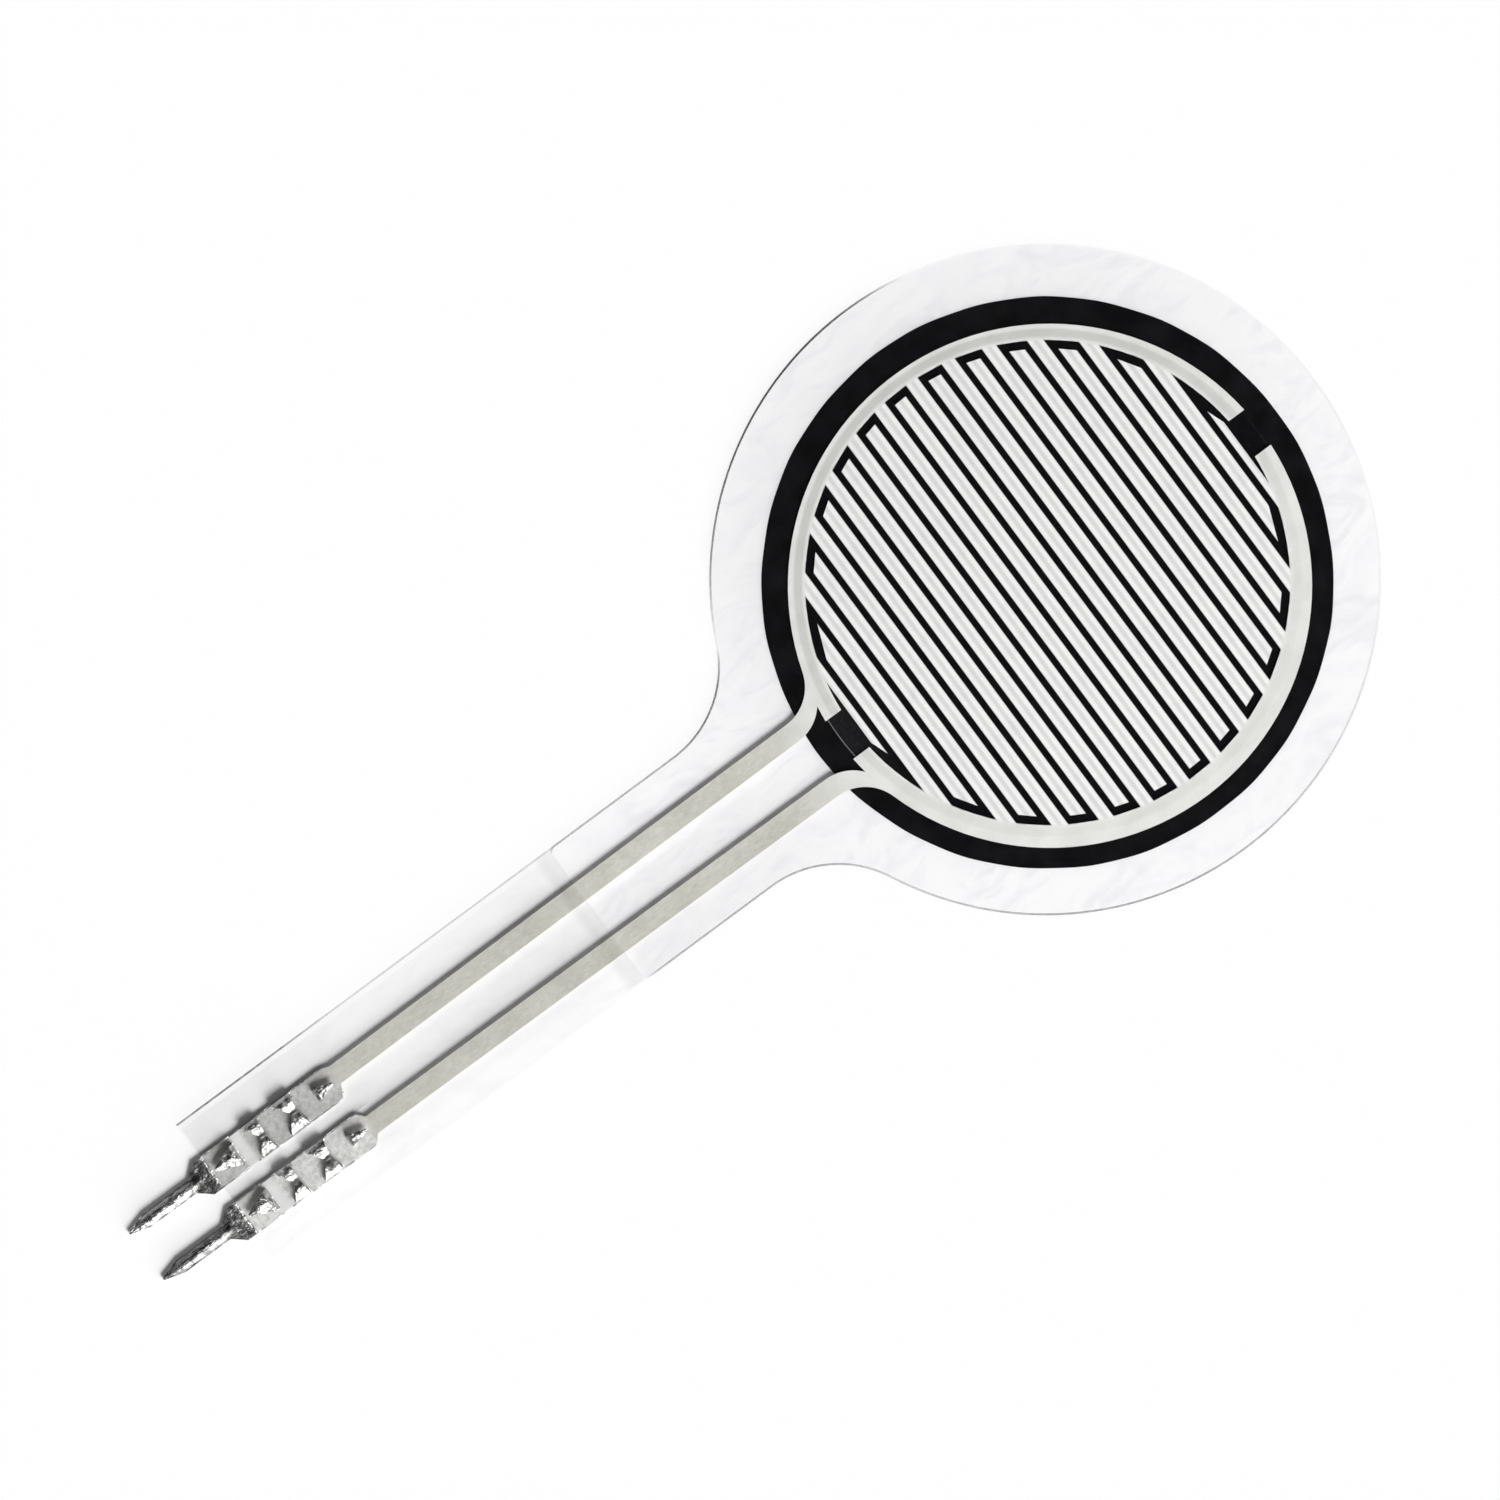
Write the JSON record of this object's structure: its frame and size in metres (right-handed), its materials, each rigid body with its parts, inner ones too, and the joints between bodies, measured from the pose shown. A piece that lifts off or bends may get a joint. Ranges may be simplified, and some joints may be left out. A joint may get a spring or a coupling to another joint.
{
  "type": "force sensing resistor",
  "caption": "Round thin-film pressure sensor with interleaved silver combs over a carbon disc, and a clear film tail that ends in crimped solder pins.",
  "frame": {"origin": "centre of the round head, on the underside of the rear film", "axes": "+Z out of the front face that is pressed, tail and solder pins along -X, +Y across the tail"},
  "size_m": [0.0652, 0.03, 0.0007],
  "materials": {
    "rear_film": "satin",
    "carbon_ink": "matte",
    "spacer_adhesive": "satin",
    "silver_ink": "matte",
    "front_film": "gloss",
    "tinned_brass": "satin"
  },
  "bodies": {
    "root": {"rear_film": "rear_film", "carbon_disc": "carbon_ink", "spacer_adhesive": "spacer_adhesive", "upper_silver_comb": "silver_ink", "lower_silver_comb": "silver_ink", "front_film": "front_film", "upper_solder_contact": "tinned_brass", "lower_solder_contact": "tinned_brass"}
  },
  "joints": []
}
